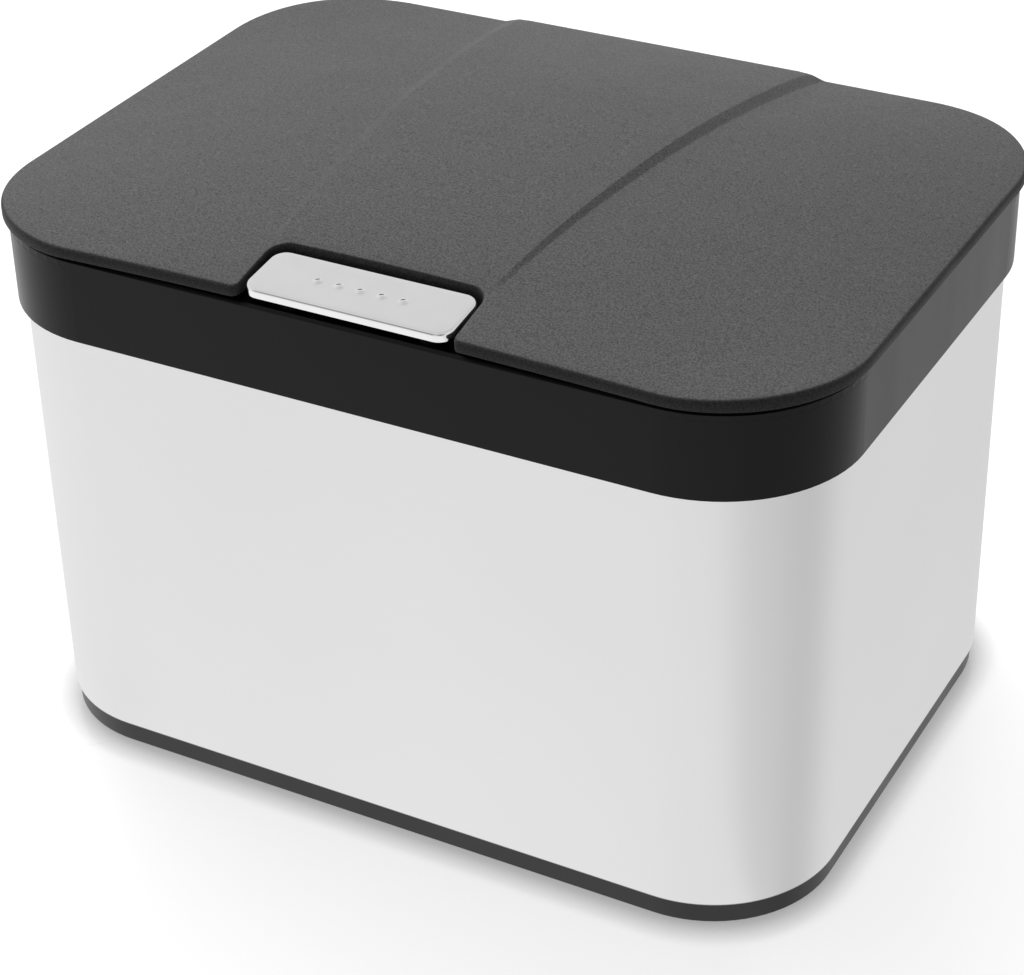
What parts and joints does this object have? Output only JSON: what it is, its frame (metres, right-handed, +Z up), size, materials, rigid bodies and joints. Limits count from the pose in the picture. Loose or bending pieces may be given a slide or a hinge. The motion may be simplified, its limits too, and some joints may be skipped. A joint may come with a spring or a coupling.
{
  "type": "countertop bin",
  "caption": "Rectangular steel countertop bin with rounded corners, a crowned plastic lid on a sprung rear hinge, a chrome press button with a sliding latch, and a lift-out inner bucket.",
  "frame": {"origin": "on the surface that the feet stand on, under the middle of the lid's outline", "axes": "+X across the bin to the right as seen from the button side, +Y from the button to the hinge, +Z up"},
  "size_m": [0.25, 0.1844, 0.1757],
  "materials": {
    "lid_grey": "fine spark-eroded grain",
    "collar_black": "satin black",
    "base_grey": "satin dark grey",
    "inner_black": "moulded black",
    "sleeve_steel": "fine satin, fingerprint resistant",
    "plain_steel": "zinc plated",
    "button_chrome": "bright plated",
    "bolt_acetal": "natural acetal",
    "seal_rubber": "soft moulded seal",
    "foot_rubber": "soft black"
  },
  "bodies": {
    "root": {"base_plinth": "base_grey", "foot_front_left": "foot_rubber", "foot_front_right": "foot_rubber", "foot_rear_left": "foot_rubber", "foot_rear_right": "foot_rubber", "steel_sleeve": "sleeve_steel", "collar": "collar_black", "inner_bucket": "inner_black", "latch_housing": "inner_black", "latch_screws": "plain_steel", "hinge_pin_left": "plain_steel", "hinge_pin_right": "plain_steel", "torsion_spring_left": "plain_steel", "torsion_spring_right": "plain_steel", "button_spring_left": "plain_steel", "button_spring_right": "plain_steel", "latch_spring_left": "plain_steel", "latch_spring_right": "plain_steel"},
    "lid": {"lid_cover": "lid_grey", "lid_liner": "inner_black", "lid_seal": "seal_rubber", "lid_screws": "plain_steel", "lid_strike": "plain_steel", "strike_screws": "plain_steel"},
    "button": {"push_button": "button_chrome", "button_carrier": "inner_black"},
    "bolt": {"latch_bolt": "bolt_acetal"}
  },
  "joints": [
    {"name": "lid_hinge", "type": "hinge", "parent": "root", "child": "lid", "pos_m": [0, 0.089, 0.156], "axis": [-1, 0, 0], "range_deg": [0, 85], "deforming": ["torsion_spring_left", "torsion_spring_right"]},
    {"name": "button_press", "type": "slide", "parent": "root", "child": "button", "axis": [0, 0, -1], "range_m": [0, 0.002], "stiffness_N_per_m": 800, "springref_m": -0.002, "deforming": ["button_spring_left", "button_spring_right"]},
    {"name": "latch_slide", "type": "slide", "parent": "root", "child": "bolt", "axis": [0, -1, 0], "range_m": [0, 0.002], "deforming": ["latch_spring_left", "latch_spring_right"]}
  ],
  "couplings": [
    {"joint": "latch_slide", "follows": "button_press", "ratio": 1}
  ]
}
